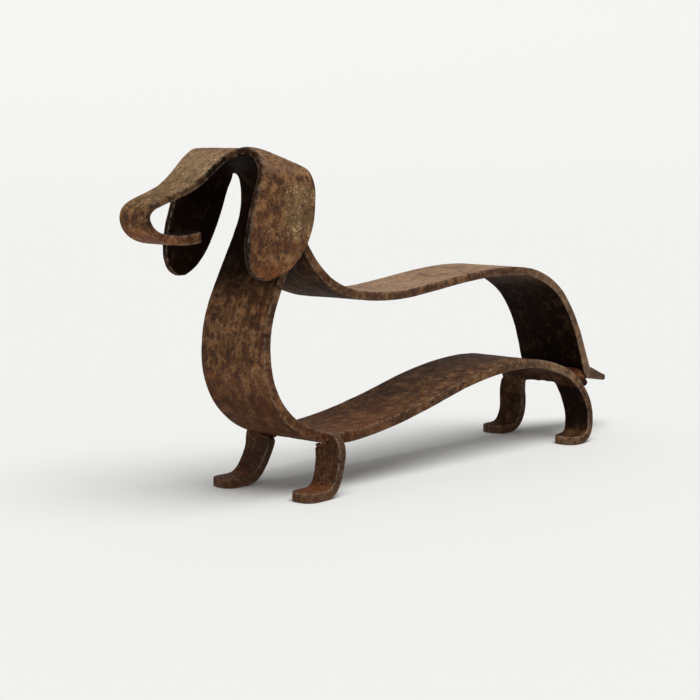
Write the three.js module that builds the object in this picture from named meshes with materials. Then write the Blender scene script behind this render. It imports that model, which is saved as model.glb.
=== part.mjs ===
// Dachshund ornament bent from flat iron strip, in millimetres.
// +Z is up and the ground is z = 0. The nose points to -X, and the dog's left side is -Y.
// Each piece is a plate: its middle surface is laid out as quads and then given its thickness.
import * as THREE from "three";

// Driving sizes
const legThickness = 2;
const soleHeight = legThickness / 2;
const weldGap = 0.3;
const bellyHalfWidth = 9.15;
const slotHalfWidth = 4.5;
const earSpread = 11.4;
const rowsPerSpan = 3;
// The ears and the front legs have shorter spans.
const fewerRowsPerSpan = 2;
const earArchRows = 7;

// Edge line of the long body strip on the dog's right: x, half the strip's width, z.
// It starts at the free end of the lower jaw and ends where the slot between the hind legs begins.
const jawAndSnout = [
  [-60.6, 1.6, 52.75],
  [-62.2, 2.9, 52.6],
  [-65.0, 3.4, 52.4],
  [-68.6, 3.6, 52.4],
  [-71.5, 3.65, 52.75],
  [-73.9, 3.7, 53.65],
  [-75.55, 3.7, 55.3],
  [-76.05, 3.7, 57.1],
  [-75.1, 3.75, 58.55],
  [-72.7, 3.85, 59.6],
  [-69.4, 4.1, 60.65],
  [-66.2, 4.4, 61.8],
  [-63.2, 4.8, 63.5],
  [-60.4, 5.2, 65.65],
  [-58.3, 5.5, 67.3],
];
const crown = [
  [-56.3, 5.8, 68.35],
  [-54.3, 6.2, 68.8],
  [-52.2, 6.6, 68.75],
  [-50.0, 7.0, 68.2],
  [-47.8, 7.4, 67.45],
  [-45.4, 7.8, 66.65],
  [-43.2, 8.2, 65.95],
  [-41.2, 8.5, 65.1],
];
const neckAndChest = [
  [-39.9, 8.6, 63.7],
  [-39.45, 8.6, 61.5],
  [-39.4, 8.6, 58.5],
  [-40.1, 8.6, 55.2],
  [-41.6, 8.6, 51.8],
  [-43.5, 8.6, 48.3],
  [-45.6, 8.6, 44.5],
  [-47.5, 8.65, 40.8],
  [-49.1, 8.7, 37.1],
  [-50.0, 8.8, 33.4],
  [-50.3, 8.9, 29.6],
  [-49.95, 9.0, 25.9],
  [-48.9, 9.05, 22.4],
  [-46.95, 9.1, 19.1],
  [-44.2, 9.1, 16.25],
  [-40.9, bellyHalfWidth, 13.95],
  [-37.2, bellyHalfWidth, 12.35],
];
const belly = [
  [-33.0, bellyHalfWidth, 11.25],
  [-28.0, bellyHalfWidth, 10.75],
  [-22.5, bellyHalfWidth, 11.0],
  [-17.0, bellyHalfWidth, 11.65],
  [-11.5, bellyHalfWidth, 12.5],
  [-6.0, bellyHalfWidth, 13.6],
  [-0.5, bellyHalfWidth, 14.8],
  [5.0, bellyHalfWidth, 16.15],
  [10.5, bellyHalfWidth, 17.45],
  [16.0, bellyHalfWidth, 18.5],
  [21.5, bellyHalfWidth, 19.3],
  [27.0, bellyHalfWidth, 19.8],
  [32.5, bellyHalfWidth, 20.0],
  [37.5, bellyHalfWidth, 19.75],
  [42.0, bellyHalfWidth, 19.0],
  [46.1, bellyHalfWidth, 17.95],
  [49.4, 9.6, 16.7],
  [52.1, 10.6, 14.8],
];

// How far the end of the strip is twisted down on the dog's right, and over how many rows.
const hindTwist = 0.9;
const twistSpans = 3;

// Hind legs: x, inner y, outer y, z, from below the slot down to the rounded toe.
const leftHindLeg = [
  [53.7, 4.4, 11.2, 12.6],
  [54.6, 4.8, 11.9, 10.6],
  [54.9, 5.4, 12.6, 8.4],
  [54.7, 6.1, 13.1, 6.2],
  [54.0, 6.7, 13.6, 4.0],
  [52.8, 7.2, 14.0, 2.3],
  [51.0, 7.9, 14.3, 1.3],
  [49.0, 8.2, 14.5, soleHeight],
  [46.9, 8.3, 14.5, soleHeight],
  [45.7, 8.8, 14.1, soleHeight],
  [45.2, 9.9, 13.0, soleHeight],
];
const rightHindLeg = [
  [53.3, 5.8, 12.5, 11.0],
  [54.0, 6.2, 12.9, 9.1],
  [54.5, 6.4, 13.2, 7.3],
  [54.8, 6.75, 13.5, 5.6],
  [54.7, 7.15, 13.8, 3.8],
  [54.1, 7.5, 14.0, 2.3],
  [52.9, 7.9, 14.2, 1.2],
  [51.1, 8.2, 14.3, soleHeight],
  [48.9, 8.3, 14.4, soleHeight],
  [47.5, 8.8, 14.0, soleHeight],
  [47.0, 9.9, 13.0, soleHeight],
];

// Ears: x, distance from the middle, z of the front and the rear edge, from the crown to the tip.
const rightEarFront = [
  [-54.9, 6.9, 68.6],
  [-54.2, 8.5, 67.9],
  [-54.2, 10.2, 66.7],
  [-54.6, earSpread, 64.8],
  [-55.4, earSpread, 61.6],
  [-56.4, earSpread, 58.3],
  [-57.6, earSpread, 55.0],
  [-58.3, earSpread, 51.6],
  [-58.4, earSpread, 48.3],
  [-57.3, earSpread, 45.6],
  [-55.3, earSpread, 44.3],
];
const rightEarRear = [
  [-41.3, 9.5, 64.9],
  [-41.0, 10.4, 64.1],
  [-41.0, 11.0, 62.9],
  [-41.5, earSpread, 61.4],
  [-42.4, earSpread, 59.2],
  [-43.4, earSpread, 56.8],
  [-44.5, earSpread, 54.3],
  [-45.9, earSpread, 51.7],
  [-47.6, earSpread, 49.0],
  [-50.0, earSpread, 46.3],
  [-53.3, earSpread, 44.4],
];
const leftEarFront = [
  [-54.7, 7.0, 69.15],
  [-53.9, 8.6, 68.75],
  [-54.0, 10.3, 67.1],
  [-54.5, earSpread, 65.0],
  [-55.5, earSpread, 62.0],
  [-56.8, earSpread, 58.4],
  [-57.9, earSpread, 54.6],
  [-58.4, earSpread, 50.8],
  [-58.0, earSpread, 47.4],
  [-56.4, earSpread, 45.3],
  [-54.2, earSpread, 44.5],
];
const leftEarRear = [
  [-41.0, 9.5, 65.0],
  [-40.5, 10.5, 64.3],
  [-40.2, 11.1, 63.0],
  [-40.0, earSpread, 61.3],
  [-40.0, earSpread, 58.7],
  [-40.3, earSpread, 55.9],
  [-41.1, earSpread, 53.1],
  [-42.8, earSpread, 50.2],
  [-45.3, earSpread, 47.5],
  [-48.6, earSpread, 45.4],
  [-52.5, earSpread, 44.5],
];

// Edge line of the back strip: x, half width, z, thickness.
// It rises to the neck, runs along the back, turns down as the rump and tapers into the tail.
const backLine = [
  [-40.0, 8.6, 51.4, 1.9],
  [-37.5, 8.7, 47.8, 1.9],
  [-35.1, 8.8, 45.1, 1.9],
  [-32.1, 8.8, 42.8, 1.9],
  [-28.4, 8.7, 41.0, 1.9],
  [-23.8, 8.5, 39.7, 1.9],
  [-18.6, 8.3, 39.0, 1.9],
  [-13.0, 8.2, 38.7, 1.9],
  [-7.5, 8.2, 38.75, 1.8],
  [-2.0, 8.2, 39.25, 1.8],
  [3.5, 8.2, 39.85, 1.8],
  [9.0, 8.25, 40.55, 1.8],
  [14.5, 8.3, 41.1, 1.8],
  [20.0, 8.4, 41.5, 1.8],
  [25.5, 8.5, 41.7, 1.8],
  [30.5, 8.6, 41.6, 1.9],
  [35.0, 8.75, 41.15, 1.9],
  [39.3, 8.85, 40.1, 1.9],
  [43.3, 8.9, 38.35, 1.9],
  [47.1, 8.9, 36.0, 1.9],
  [50.2, 8.9, 33.0, 1.9],
  [52.75, 8.9, 29.5, 1.95],
  [54.7, 9.0, 26.0, 2.0],
  [56.2, 9.1, 22.6, 2.1],
  [57.35, 9.15, 19.6, 2.3],
  [58.4, 9.05, 17.2, 2.7],
  [60.0, 8.5, 15.6, 3.0],
  [62.5, 7.6, 15.0, 2.8],
  [65.8, 6.4, 14.35, 2.4],
  [69.5, 5.0, 13.55, 2.0],
  [73.1, 3.7, 12.75, 1.7],
  [76.0, 2.6, 12.15, 1.5],
  [77.7, 1.7, 11.8, 1.3],
  [78.4, 0.8, 11.7, 1.2],
];

// Weld metal between the root of the tail and the top of the hind legs: x, z of its outline.
const tailWeldHalfWidth = 8.6;
const tailWeldEndShrink = 0.3;
const tailWeldOutline = [
  [53.45, 15.7],
  [54.15, 14.5],
  [54.7, 13.6],
  [56.4, 13.5],
  [57.9, 13.5],
  [58.6, 13.7],
  [58.7, 14.0],
  [57.85, 15.0],
  [56.9, 16.0],
  [55.3, 15.7],
];
const tailWeldSteps = 12;
const tailWeldBluntness = 6;
// On the dog's left the weld ends in a nub that hangs lower and stands further back.
const nubStart = 0.55;
const nubBack = 1.6;
const nubDrop = 1.5;

// Front leg: x, outer y, z of its shoulder, which stands beside the body strip.
const shoulderInner = bellyHalfWidth + weldGap;
const innerStep = 0.4;
const shoulder = [
  [-33.15, 11.4, 12.4],
  [-33.2, 12.5, 11.6],
  [-33.2, 13.1, 10.6],
];
// Front leg: x, inner y, outer y, z, from under the belly down to the rounded toe.
const frontLegLine = [
  [-33.25, 6.1, 13.3, 9.65],
  [-33.25, 6.3, 13.35, 8.8],
  [-33.4, 6.6, 13.4, 7.6],
  [-34.0, 7.0, 13.5, 5.9],
  [-34.9, 7.4, 13.75, 4.0],
  [-36.1, 7.8, 14.0, 2.25],
  [-37.8, 8.05, 14.2, 1.15],
  [-40.2, 8.2, 14.3, soleHeight],
  [-42.6, 8.2, 14.3, soleHeight],
  [-43.9, 8.7, 13.9, soleHeight],
  [-44.4, 9.8, 12.9, soleHeight],
];
// How much further out a front leg is for each millimetre above its sole.
const leftLegLean = -0.02;
const rightLegLean = 0.045;

// Thickness of the body strip at some of its rows, counted from the end of the jaw.
const jawRow = 0;
const noseRow = 7;
const browRow = jawAndSnout.length;
const napeRow = browRow + crown.length;
const chestRow = napeRow + 11;
const bellyRow = napeRow + neckAndChest.length;
const humpRow = bellyRow + 8;
const thicknessStops = [
  [jawRow, 2.2],
  [noseRow, 1.35],
  [browRow, 1.4],
  [napeRow, 1.6],
  [chestRow, 2.05],
  [bellyRow, 2.3],
  [humpRow, 2.0],
];

// Materials
function rustyIron(name, color) {
  return new THREE.MeshStandardMaterial({ name, color, roughness: 0.7, metalness: 0.35 });
}
const brownIron = rustyIron("rusty_iron", "#4f3527");
const darkIron = rustyIron("dark_rusty_iron", "#3a2a20");
const weldMetal = rustyIron("rusty_weld_metal", "#7a4a2c");

// Points on a smooth line through the given ones, a fixed number to each span.
function smoothLine(points, perSpan = rowsPerSpan) {
  const curve = new THREE.CatmullRomCurve3(points.map((p) => new THREE.Vector3(...p)));
  return curve.getPoints((points.length - 1) * perSpan);
}

// The same for rows of x, y, a second y and z. No leg reaches below its sole.
function smoothLegRows(rows, perSpan = rowsPerSpan) {
  const inner = smoothLine(rows.map(([x, y, , z]) => [x, y, z]), perSpan);
  const outer = smoothLine(rows.map(([x, , y, z]) => [x, y, z]), perSpan);
  return inner.map(({ x, y, z }, i) => ({ x, inner: y, outer: outer[i].y, z: Math.max(z, soleHeight) }));
}

// Value at a row between the stops of a list of rows and values. Beyond the last stop it stays the same.
function between(stops, row) {
  const last = stops.length - 1;
  const found = stops.findIndex(([at]) => at >= row);
  const next = found < 0 ? last : Math.max(1, found);
  const [fromRow, from] = stops[next - 1];
  const [toRow, to] = stops[next];
  return THREE.MathUtils.lerp(from, to, Math.min(1, (row - fromRow) / (toRow - fromRow)));
}

// Plate

class Plate {
  constructor() {
    this.points = [];
    this.halves = [];
    this.quads = [];
  }

  add(x, y, z, thickness) {
    this.points.push(new THREE.Vector3(x, y, z));
    this.halves.push(thickness / 2);
    return this.points.length - 1;
  }

  // Quads between rows of vertex numbers, facing the outer side of the bends.
  join(rows) {
    for (let j = 0; j + 1 < rows.length; j += 1) {
      for (let i = 0; i + 1 < rows[j].length; i += 1) {
        this.quads.push([rows[j][i], rows[j + 1][i], rows[j + 1][i + 1], rows[j][i + 1]]);
      }
    }
  }

  normals() {
    const sums = this.points.map(() => new THREE.Vector3());
    for (const [a, b, c, d] of this.quads) {
      const ac = this.points[c].clone().sub(this.points[a]);
      const bd = this.points[d].clone().sub(this.points[b]);
      const normal = ac.cross(bd);
      for (const corner of [a, b, c, d]) {
        sums[corner].add(normal);
      }
    }
    return sums.map((sum) => sum.normalize());
  }

  // Closed solid: an upper and a lower skin, and a wall along every open edge.
  solid() {
    const normals = this.normals();
    const upper = this.points.map((p, i) => p.clone().addScaledVector(normals[i], this.halves[i]));
    const lower = this.points.map((p, i) => p.clone().addScaledVector(normals[i], -this.halves[i]));
    const count = this.points.length;
    const faces = [];
    const quad = (a, b, c, d) => faces.push(a, b, c, a, c, d);
    const edges = new Set();
    for (const corners of this.quads) {
      corners.forEach((a, i) => edges.add(`${a},${corners[(i + 1) % 4]}`));
    }
    for (const corners of this.quads) {
      const [a, b, c, d] = corners;
      quad(a, b, c, d);
      quad(d + count, c + count, b + count, a + count);
      corners.forEach((from, i) => {
        const to = corners[(i + 1) % 4];
        if (!edges.has(`${to},${from}`)) {
          quad(to, from, from + count, to + count);
        }
      });
    }
    const geometry = new THREE.BufferGeometry().setFromPoints([...upper, ...lower]);
    geometry.setIndex(faces);
    const flat = geometry.toNonIndexed();
    flat.computeVertexNormals();
    return flat;
  }
}

// Rows that are in order on the dog's right are turned round on its left.
function onSide(rows, side) {
  return side > 0 ? rows : rows.map((row) => [...row].reverse());
}

// Body strip with jaw, snout, ears, neck, chest, belly and hind legs

// One ear, joined to the crown's edge. Each row runs from the ear's front edge to its rear edge.
function addEar(plate, root, frontLine, rearLine, side) {
  const base = root.map((vertex) => plate.points[vertex]);
  const thickness = root.map((vertex) => plate.halves[vertex] * 2);
  const toSide = ([x, y, z]) => [x, side * y, z];
  const rootFront = base[0];
  const rootRear = base.at(-1);
  const front = smoothLine([rootFront.toArray(), ...frontLine.map(toSide)], fewerRowsPerSpan);
  const rear = smoothLine([rootRear.toArray(), ...rearLine.map(toSide)], fewerRowsPerSpan);
  const rows = [root];
  for (let j = 1; j < front.length; j += 1) {
    const arch = Math.max(0, 1 - j / earArchRows) ** 2;
    rows.push(base.map((point, i) => {
      const share = (point.x - rootFront.x) / (rootRear.x - rootFront.x);
      const lift = point.clone().sub(rootFront.clone().lerp(rootRear, share));
      const { x, y, z } = front[j].clone().lerp(rear[j], share).addScaledVector(lift, arch);
      return plate.add(x, y, z, thickness[i]);
    }));
  }
  plate.join(side > 0 ? rows.reverse() : rows);
}

function addHindLeg(plate, top, line, side) {
  const corner = plate.points[top[side > 0 ? 0 : 1]];
  const edge = plate.points[top[side > 0 ? 1 : 0]];
  const from = [(corner.x + edge.x) / 2, Math.abs(corner.y), Math.abs(edge.y), (corner.z + edge.z) / 2];
  const rows = smoothLegRows([from, ...line]).slice(1).map(({ x, inner, outer, z }) => (
    [inner, outer].map((y) => plate.add(x, side * y, z, legThickness))
  ));
  plate.join([top, ...onSide(rows, side)]);
}

function bodyStrip() {
  const plate = new Plate();
  const edge = smoothLine([...jawAndSnout, ...crown, ...neckAndChest, ...belly]);
  const slotShare = slotHalfWidth / edge.at(-1).y;
  const twistStart = edge.length - 1 - twistSpans * rowsPerSpan;
  const rows = edge.map((p, i) => {
    const thickness = between(thicknessStops, i / rowsPerSpan);
    const twist = hindTwist * THREE.MathUtils.smoothstep(i, twistStart, edge.length - 1);
    return [-1, -slotShare, slotShare, 1].map((share) => (
      plate.add(p.x, p.y * share, p.z - twist * (1 + share) / 2, thickness)
    ));
  });
  plate.join(rows);
  const crownRows = rows.slice(browRow * rowsPerSpan, (napeRow - 1) * rowsPerSpan + 1);
  addEar(plate, crownRows.map((row) => row[3]), rightEarFront, rightEarRear, 1);
  addEar(plate, crownRows.map((row) => row[0]), leftEarFront, leftEarRear, -1);
  addHindLeg(plate, rows.at(-1).slice(2), rightHindLeg, 1);
  addHindLeg(plate, rows.at(-1).slice(0, 2), leftHindLeg, -1);
  return plate.solid();
}

// Back strip with the tail

function backStrip() {
  const plate = new Plate();
  const edge = smoothLine(backLine.map(([x, y, z]) => [x, y, z]));
  const stops = backLine.map(([, , , thickness], i) => [i, thickness]);
  plate.join(edge.map(({ x, y, z }, i) => (
    [-y, 0, y].map((across) => plate.add(x, across, z, between(stops, i / rowsPerSpan)))
  )));
  return plate.solid();
}

// Weld at the root of the tail

// The outline is drawn out across the strip. It follows the strip's twist and narrows at both ends.
function tailWeld() {
  const outline = tailWeldOutline.map(([x, z]) => new THREE.Vector2(x, z));
  const box = new THREE.Box2().setFromPoints(outline);
  const middle = box.getCenter(new THREE.Vector2());
  const extrusion = { depth: 2 * tailWeldHalfWidth, steps: tailWeldSteps, bevelEnabled: false };
  const geometry = new THREE.ExtrudeGeometry(new THREE.Shape(outline), extrusion);
  geometry.rotateX(Math.PI / 2).translate(0, tailWeldHalfWidth, 0);
  const places = geometry.attributes.position;
  for (let i = 0; i < places.count; i += 1) {
    const share = places.getY(i) / tailWeldHalfWidth;
    const size = 1 - tailWeldEndShrink * share ** tailWeldBluntness;
    const nearStrip = THREE.MathUtils.inverseLerp(box.max.x, box.min.x, places.getX(i));
    const low = THREE.MathUtils.inverseLerp(box.max.y, box.min.y, places.getZ(i));
    const nub = low ** 2 * THREE.MathUtils.smoothstep(-share, nubStart, 1);
    const back = nubBack * nub * (1 - nearStrip);
    const drop = nubDrop * nub + (hindTwist * nearStrip * (1 + share)) / 2;
    places.setX(i, middle.x + (places.getX(i) - middle.x) * size + back);
    places.setZ(i, middle.y + (places.getZ(i) - middle.y) * size - drop);
  }
  geometry.computeVertexNormals();
  return geometry;
}

// Front legs

function frontLeg(side, lean) {
  const plate = new Plate();
  const add = (x, y, z) => plate.add(x, side * y, z, legThickness);
  const leg = smoothLegRows(frontLegLine, fewerRowsPerSpan).map(({ x, inner, outer, z }) => {
    const out = lean * (z - soleHeight);
    const beside = Math.max(shoulderInner, inner + out + innerStep);
    return [inner + out, beside, outer + out].map((y) => add(x, y, z));
  });
  const [x, , outer, z] = frontLegLine[0];
  const above = smoothLine([...shoulder, [x, outer, z]], fewerRowsPerSpan).slice(0, -1).map((p) => (
    [shoulderInner, p.y + lean * (p.z - soleHeight)].map((y) => add(p.x, y, p.z))
  ));
  plate.join(onSide([...above, leg[0].slice(1)], side));
  plate.join(onSide(leg, side));
  return plate.solid();
}

// Dog

const dog = new THREE.Group();

function addPiece(name, geometry, material) {
  const mesh = new THREE.Mesh(geometry, material);
  mesh.name = name;
  dog.add(mesh);
}

addPiece("body_strip", bodyStrip(), brownIron);
addPiece("back_strip", backStrip(), brownIron);
addPiece("tail_weld", tailWeld(), weldMetal);
addPiece("front_leg_left", frontLeg(-1, leftLegLean), darkIron);
addPiece("front_leg_right", frontLeg(1, rightLegLean), darkIron);

// The origin is on the ground, at the middle of the dog's length.
const extent = new THREE.Box3().setFromObject(dog);
const middle = extent.getCenter(new THREE.Vector3());
for (const mesh of dog.children) {
  mesh.geometry.translate(-middle.x, 0, -extent.min.z);
}

export default dog;
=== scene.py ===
import math

import bpy
import numpy as np
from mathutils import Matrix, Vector
from mathutils.kdtree import KDTree


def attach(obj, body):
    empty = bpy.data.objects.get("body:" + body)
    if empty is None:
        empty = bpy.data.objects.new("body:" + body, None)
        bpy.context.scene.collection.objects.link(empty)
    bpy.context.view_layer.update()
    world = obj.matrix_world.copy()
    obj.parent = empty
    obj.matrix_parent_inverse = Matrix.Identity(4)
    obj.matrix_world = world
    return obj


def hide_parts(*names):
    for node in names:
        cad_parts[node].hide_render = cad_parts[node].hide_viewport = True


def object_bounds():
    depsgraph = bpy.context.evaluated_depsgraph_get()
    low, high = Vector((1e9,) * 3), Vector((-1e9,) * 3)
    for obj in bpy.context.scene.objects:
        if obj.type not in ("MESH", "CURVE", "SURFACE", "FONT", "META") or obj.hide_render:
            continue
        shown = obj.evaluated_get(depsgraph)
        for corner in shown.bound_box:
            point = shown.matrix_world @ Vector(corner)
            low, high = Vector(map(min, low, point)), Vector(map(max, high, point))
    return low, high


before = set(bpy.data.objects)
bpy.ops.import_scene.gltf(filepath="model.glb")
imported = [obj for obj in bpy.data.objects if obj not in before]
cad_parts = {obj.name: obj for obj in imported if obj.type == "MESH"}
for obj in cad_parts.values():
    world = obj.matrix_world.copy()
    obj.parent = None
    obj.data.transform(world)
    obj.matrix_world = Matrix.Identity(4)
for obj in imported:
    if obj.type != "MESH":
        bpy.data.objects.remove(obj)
cad_low, cad_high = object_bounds()

# Driving sizes, in millimetres, in the frame of the solids before they are centred.
MM = 0.001
LEG_PLATE = 2.0
SOLE = LEG_PLATE / 2
WELD_GAP = 0.3
BELLY_HALF = 9.15
SLOT_HALF = 4.5
EAR_SPREAD = 11.4
CELL = 0.45
# Rims: radius of the worn edge, raggedness, how far the inset and the rounded corners reach into the sheet,
# and how often the corners are evened out.
WORN_RADIUS = 0.3
RAGGED = 0.07
RAGGED_SIZE = 2.2
INSET_REACH = 0.8
ROUNDED_REACH = 3.0
RIM_ROUNDS = 9
# How unevenly the rims are worn, and how rough their skin is.
WORN_SPREAD = 0.3
WORN_SIZE = 3.0
RIM_GRAIN = 0.03
RIM_GRAIN_SIZE = 1.1
# Relief of the sheets: how deep and how wide its dents, crust and pits are, and where its noise starts a pit.
DENT_DEPTH = 0.1
DENT_SIZE = 11.0
CRUST_DEPTH = 0.04
CRUST_SIZE = 1.7
PIT_DEPTH = 0.09
PIT_SIZE = 1.3
PIT_START = 0.3
# Points of a curve between two rows of its table.
SPAN_POINTS = 12
EAR_POINTS = 6
WELD_POINTS = 8
BEAD_POINTS = 16
# Cells of the front legs and the welds.
LEG_CELL = 0.4
WELD_CELL = 0.4
BEAD_CELL = 0.25
# Over how many of its rows an ear still has some of the crown's arch.
EAR_ARCH_ROWS = 21
# Flat coordinates: millimetres in one unit, and how far the pieces are moved in them.
FLAT_UNIT = 100
EAR_FLAT_ALONG = 200
EAR_FLAT_ASIDE = 30
BACK_FLAT_ALONG = 400
LEG_FLAT_ASIDE = 40
# Seeds of the relief. A left and a right piece have different ones.
BODY_SEED = 21
BACK_SEED = 43
LEG_SEED = 60
NAPE_WELD_SEED = 71
SHOULDER_WELD_SEED = 75
TAIL_WELD_SEED = 90

# Edge line of the body strip: x, half width, z. From the free end of the jaw to the nape.
JAW_AND_SNOUT = [
    (-60.6, 1.6, 52.75),
    (-62.2, 2.9, 52.6),
    (-65.0, 3.4, 52.4),
    (-68.6, 3.6, 52.4),
    (-71.5, 3.65, 52.75),
    (-73.9, 3.7, 53.65),
    (-75.55, 3.7, 55.3),
    (-76.05, 3.7, 57.1),
    (-75.1, 3.75, 58.55),
    (-72.7, 3.85, 59.6),
    (-69.4, 4.1, 60.65),
    (-66.2, 4.4, 61.8),
    (-63.2, 4.8, 63.5),
    (-60.4, 5.2, 65.65),
    (-58.3, 5.5, 67.3),
]
CROWN = [
    (-56.3, 5.8, 68.35),
    (-54.3, 6.2, 68.8),
    (-52.2, 6.6, 68.75),
    (-50.0, 7.0, 68.2),
    (-47.8, 7.4, 67.45),
    (-45.4, 7.8, 66.65),
    (-43.2, 8.2, 65.95),
    (-41.2, 8.5, 65.1),
]
NECK_AND_CHEST = [
    (-39.9, 8.6, 63.7),
    (-39.45, 8.6, 61.5),
    (-39.4, 8.6, 58.5),
    (-40.1, 8.6, 55.2),
    (-41.6, 8.6, 51.8),
    (-43.5, 8.6, 48.3),
    (-45.6, 8.6, 44.5),
    (-47.5, 8.65, 40.8),
    (-49.1, 8.7, 37.1),
    (-50.0, 8.8, 33.4),
    (-50.3, 8.9, 29.6),
    (-49.95, 9.0, 25.9),
    (-48.9, 9.05, 22.4),
    (-46.95, 9.1, 19.1),
    (-44.2, 9.1, 16.25),
    (-40.9, BELLY_HALF, 13.95),
    (-37.2, BELLY_HALF, 12.35),
]
BELLY = [
    (-33.0, BELLY_HALF, 11.25),
    (-28.0, BELLY_HALF, 10.75),
    (-22.5, BELLY_HALF, 11.0),
    (-17.0, BELLY_HALF, 11.65),
    (-11.5, BELLY_HALF, 12.5),
    (-6.0, BELLY_HALF, 13.6),
    (-0.5, BELLY_HALF, 14.8),
    (5.0, BELLY_HALF, 16.15),
    (10.5, BELLY_HALF, 17.45),
    (16.0, BELLY_HALF, 18.5),
    (21.5, BELLY_HALF, 19.3),
    (27.0, BELLY_HALF, 19.8),
    (32.5, BELLY_HALF, 20.0),
    (37.5, BELLY_HALF, 19.75),
    (42.0, BELLY_HALF, 19.0),
    (46.1, BELLY_HALF, 17.95),
    (49.4, 9.6, 16.7),
    (52.1, 10.6, 14.8),
]
# Thickness of the body strip at some of its rows, counted from the end of the jaw.
NOSE_ROW = 7
BROW_ROW = len(JAW_AND_SNOUT)
NAPE_ROW = BROW_ROW + len(CROWN)
BELLY_ROW = NAPE_ROW + len(NECK_AND_CHEST)
THICKNESS_ROWS = [0, NOSE_ROW, BROW_ROW, NAPE_ROW, NAPE_ROW + 11, BELLY_ROW, BELLY_ROW + 8]
THICKNESS = [2.2, 1.35, 1.4, 1.6, 2.05, 2.3, 2.0]
# How far the end of the strip is twisted down on the dog's right, and over how many rows.
HIND_TWIST = 0.9
TWIST_ROWS = 3
# Hind legs: x, inner y, z, outer y, from below the slot down to the rounded toe.
LEFT_HIND_LEG = [
    (53.7, 4.4, 12.6, 11.2),
    (54.6, 4.8, 10.6, 11.9),
    (54.9, 5.4, 8.4, 12.6),
    (54.7, 6.1, 6.2, 13.1),
    (54.0, 6.7, 4.0, 13.6),
    (52.8, 7.2, 2.3, 14.0),
    (51.0, 7.9, 1.3, 14.3),
    (49.0, 8.2, SOLE, 14.5),
    (46.9, 8.3, SOLE, 14.5),
    (45.7, 8.8, SOLE, 14.1),
    (45.2, 9.9, SOLE, 13.0),
]
RIGHT_HIND_LEG = [
    (53.3, 5.8, 11.0, 12.5),
    (54.0, 6.2, 9.1, 12.9),
    (54.5, 6.4, 7.3, 13.2),
    (54.8, 6.75, 5.6, 13.5),
    (54.7, 7.15, 3.8, 13.8),
    (54.1, 7.5, 2.3, 14.0),
    (52.9, 7.9, 1.2, 14.2),
    (51.1, 8.2, SOLE, 14.3),
    (48.9, 8.3, SOLE, 14.4),
    (47.5, 8.8, SOLE, 14.0),
    (47.0, 9.9, SOLE, 13.0),
]
# Ears: x, distance from the middle, z of the front and the rear edge, from the crown to the tip.
RIGHT_EAR_FRONT = [
    (-54.9, 6.9, 68.6),
    (-54.2, 8.5, 67.9),
    (-54.2, 10.2, 66.7),
    (-54.6, EAR_SPREAD, 64.8),
    (-55.4, EAR_SPREAD, 61.6),
    (-56.4, EAR_SPREAD, 58.3),
    (-57.6, EAR_SPREAD, 55.0),
    (-58.3, EAR_SPREAD, 51.6),
    (-58.4, EAR_SPREAD, 48.3),
    (-57.3, EAR_SPREAD, 45.6),
    (-55.3, EAR_SPREAD, 44.3),
]
RIGHT_EAR_REAR = [
    (-41.3, 9.5, 64.9),
    (-41.0, 10.4, 64.1),
    (-41.0, 11.0, 62.9),
    (-41.5, EAR_SPREAD, 61.4),
    (-42.4, EAR_SPREAD, 59.2),
    (-43.4, EAR_SPREAD, 56.8),
    (-44.5, EAR_SPREAD, 54.3),
    (-45.9, EAR_SPREAD, 51.7),
    (-47.6, EAR_SPREAD, 49.0),
    (-50.0, EAR_SPREAD, 46.3),
    (-53.3, EAR_SPREAD, 44.4),
]
LEFT_EAR_FRONT = [
    (-54.7, 7.0, 69.15),
    (-53.9, 8.6, 68.75),
    (-54.0, 10.3, 67.1),
    (-54.5, EAR_SPREAD, 65.0),
    (-55.5, EAR_SPREAD, 62.0),
    (-56.8, EAR_SPREAD, 58.4),
    (-57.9, EAR_SPREAD, 54.6),
    (-58.4, EAR_SPREAD, 50.8),
    (-58.0, EAR_SPREAD, 47.4),
    (-56.4, EAR_SPREAD, 45.3),
    (-54.2, EAR_SPREAD, 44.5),
]
LEFT_EAR_REAR = [
    (-41.0, 9.5, 65.0),
    (-40.5, 10.5, 64.3),
    (-40.2, 11.1, 63.0),
    (-40.0, EAR_SPREAD, 61.3),
    (-40.0, EAR_SPREAD, 58.7),
    (-40.3, EAR_SPREAD, 55.9),
    (-41.1, EAR_SPREAD, 53.1),
    (-42.8, EAR_SPREAD, 50.2),
    (-45.3, EAR_SPREAD, 47.5),
    (-48.6, EAR_SPREAD, 45.4),
    (-52.5, EAR_SPREAD, 44.5),
]
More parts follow.
